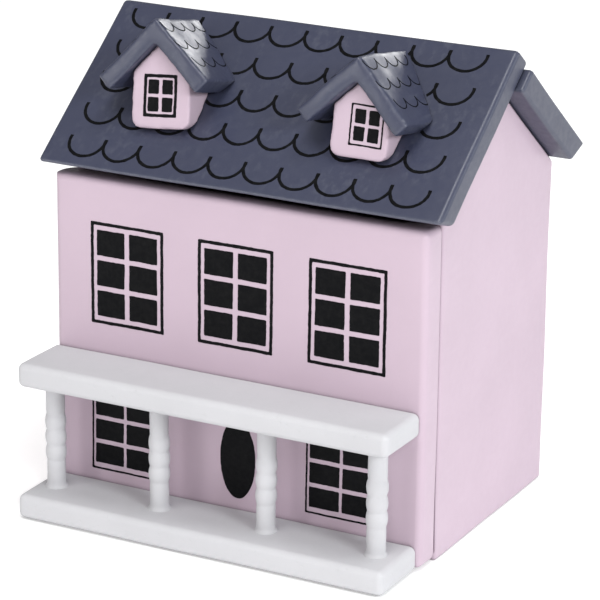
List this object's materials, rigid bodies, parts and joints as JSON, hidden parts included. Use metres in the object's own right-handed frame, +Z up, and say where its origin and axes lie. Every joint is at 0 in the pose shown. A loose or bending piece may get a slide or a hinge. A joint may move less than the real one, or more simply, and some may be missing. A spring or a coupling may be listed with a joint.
{
  "type": "dollhouse",
  "caption": "Painted wooden dollhouse with a gabled roof, dormers and a porch; the printed front swings open on side hinges to reach an upper and a lower room.",
  "frame": {"origin": "on the house's underside, behind the front panel: on the front panel's centre line, midway between the walls' front edges and the back wall's outer face", "axes": "+Z up; -Y is the front, with the porch; +X is to the right as seen from the front; the front panel's hinges are on the -X side"},
  "size_m": [0.139, 0.1195, 0.1534],
  "materials": {
    "pink_paint": "thick satin paint on wood, edges sanded round",
    "roof_paint": "thick satin slate-blue paint on wood, worn lighter along the edges",
    "white_paint": "thick satin white paint on wood",
    "ink": "black silk-screen ink",
    "hinge_brass": "plain brass sheet",
    "hinge_steel": "bright steel wire",
    "magnet_nickel": "nickel plate",
    "disc_steel": "bright steel"
  },
  "bodies": {
    "house": {"ground_floor": "pink_paint", "left_wall": "pink_paint", "right_wall": "pink_paint", "back_wall": "pink_paint", "middle_floor": "pink_paint", "front_roof_board": "roof_paint", "back_roof_board": "roof_paint", "left_dormer_block": "pink_paint", "left_dormer_roof": "roof_paint", "right_dormer_block": "pink_paint", "right_dormer_roof": "roof_paint", "upper_hinge_house_leaf": "hinge_brass", "upper_hinge_pin": "hinge_steel", "lower_hinge_house_leaf": "hinge_brass", "lower_hinge_pin": "hinge_steel", "house_hinge_screws": "hinge_brass", "catch_magnet": "magnet_nickel", "left_dormer_window_print": "ink", "right_dormer_window_print": "ink", "roof_tile_print": "ink", "left_dormer_tile_print": "ink", "right_dormer_tile_print": "ink"},
    "front": {"front_panel": "pink_paint", "porch_roof": "white_paint", "porch_base": "white_paint", "porch_post_1": "white_paint", "porch_post_2": "white_paint", "porch_post_3": "white_paint", "porch_post_4": "white_paint", "upper_hinge_front_leaf": "hinge_brass", "lower_hinge_front_leaf": "hinge_brass", "front_hinge_screws": "hinge_brass", "catch_disc": "disc_steel", "upper_window_prints": "ink", "lower_window_prints": "ink", "door_print": "ink"}
  },
  "joints": [
    {"name": "front_panel_hinge", "type": "hinge", "parent": "house", "child": "front", "pos_m": [-0.0621, -0.0392, 0.052], "axis": [0, 0, -1], "range_deg": [0, 170]}
  ]
}
